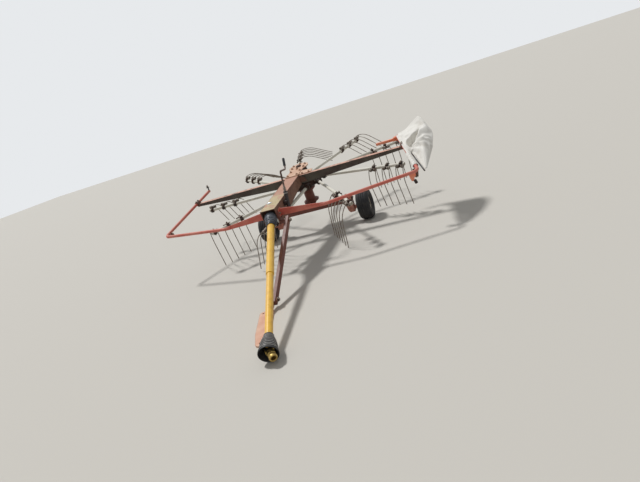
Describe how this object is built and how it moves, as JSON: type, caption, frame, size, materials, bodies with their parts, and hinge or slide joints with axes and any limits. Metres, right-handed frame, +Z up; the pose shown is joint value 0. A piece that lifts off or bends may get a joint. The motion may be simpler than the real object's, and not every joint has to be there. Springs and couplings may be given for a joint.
{
  "type": "trailed single-rotor rotary hay rake",
  "caption": "Trailed single-rotor rotary hay rake with tined arms, side guards, a folded canvas curtain, a drawbar with hitch plate and a telescopic drive shaft.",
  "frame": {"origin": "axis of the hitch-pin bore, on the ground under the hitch plate", "axes": "+X to the machine's left, +Y to the rear, +Z up along the hitch-pin bore"},
  "size_m": [2.9926, 4.2955, 0.9958],
  "materials": {
    "guard_red": "faded red paint with rust at the edges",
    "faded_tan": "sun-bleached paint over rust",
    "brown_steel": "old dark paint and rust",
    "arm_paint": "worn pale paint",
    "spring_steel": "dark spring steel",
    "black_steel": "black steel",
    "faded_orange": "faded orange paint",
    "orange_paint": "bright orange paint",
    "rim_paint": "worn pale paint",
    "tyre": "dusty black rubber",
    "black_plastic": "ribbed black plastic",
    "yellow_plastic": "yellow guard tube",
    "gold_zinc": "yellow zinc plating",
    "canvas": "off-white canvas"
  },
  "bodies": {
    "root": {"box_beam": "faded_tan", "crossbeam": "brown_steel", "hub_plate": "faded_tan", "gearbox": "brown_steel", "mast": "brown_steel", "undercarriage": "brown_steel", "axle_left": "faded_tan", "axle_right": "faded_tan", "guard_left": "guard_red", "guard_right": "guard_red", "guard_clamp_left": "brown_steel", "guard_clamp_right": "brown_steel", "corner_plate_left": "brown_steel", "corner_plate_right": "brown_steel", "crank_sleeve": "black_steel", "crank_handle": "black_steel", "drawbar_hanger": "brown_steel", "drawbar": "brown_steel", "hitch_plate": "faded_orange", "curtain_socket": "orange_paint", "input_shaft": "brown_steel", "bearing_plate": "brown_steel", "tube_sleeve": "canvas"},
    "rotor": {"rotor_hub": "brown_steel", "arm_1": "arm_paint", "arm_2": "arm_paint", "arm_3": "arm_paint", "arm_4": "arm_paint", "arm_5": "arm_paint", "arm_6": "arm_paint", "arm_7": "arm_paint", "arm_8": "arm_paint", "arm_9": "arm_paint", "tines_1": "spring_steel", "tines_2": "spring_steel", "tines_3": "spring_steel", "tines_4": "spring_steel", "tines_5": "spring_steel", "tines_6": "spring_steel", "tines_7": "spring_steel", "tines_8": "spring_steel", "tines_9": "spring_steel"},
    "wheel_left": {"tyre_left": "tyre", "rim_left": "rim_paint"},
    "wheel_right": {"tyre_right": "tyre", "rim_right": "rim_paint"},
    "shaft_upper": {"shaft_core": "brown_steel", "shaft_cone_upper": "black_plastic", "shaft_tube_outer": "yellow_plastic"},
    "shaft_lower": {"shaft_tube_inner": "yellow_plastic", "shaft_cone_lower": "black_plastic"},
    "shaft_end": {"shaft_fork": "gold_zinc"},
    "yoke": {"shaft_yoke": "gold_zinc"},
    "curtain": {"curtain_bar": "orange_paint", "curtain_canvas": "canvas", "curtain_rod": "black_steel"}
  },
  "joints": [
    {"name": "rotor_spin", "type": "hinge", "parent": "root", "child": "rotor", "pos_m": [-0.217, 2.66894, 0.58281], "axis": [0, -0.1495, 0.9888], "continuous": true},
    {"name": "wheel_left_spin", "type": "hinge", "parent": "root", "child": "wheel_left", "pos_m": [0.438, 2.534, 0.171], "axis": [1, 0, 0], "continuous": true},
    {"name": "wheel_right_spin", "type": "hinge", "parent": "root", "child": "wheel_right", "pos_m": [-0.792, 2.534, 0.171], "axis": [1, 0, 0], "continuous": true},
    {"name": "shaft_swing", "type": "hinge", "parent": "root", "child": "shaft_upper", "pos_m": [-0.217, 1.39795, 0.54735], "axis": [-0.9728, -0.2317, 0], "range_deg": [0, 15]},
    {"name": "shaft_slide", "type": "slide", "parent": "shaft_upper", "child": "shaft_lower", "axis": [0.2232, -0.9369, -0.2691], "range_m": [-0.35, 0]},
    {"name": "shaft_spin", "type": "hinge", "parent": "shaft_lower", "child": "shaft_end", "pos_m": [0.16914, -0.22288, 0.08184], "axis": [0.2232, -0.9369, -0.2691], "continuous": true},
    {"name": "yoke_swing", "type": "hinge", "parent": "shaft_end", "child": "yoke", "pos_m": [0.16914, -0.22288, 0.08184], "axis": [0.0624, -0.2618, 0.9631], "range_deg": [-45, 5]},
    {"name": "curtain_slide", "type": "slide", "parent": "root", "child": "curtain", "axis": [1, 0, 0], "range_m": [0, 0.2]}
  ],
  "couplings": [
    {"joint": "shaft_spin", "follows": "rotor_spin", "ratio": 6.5}
  ]
}
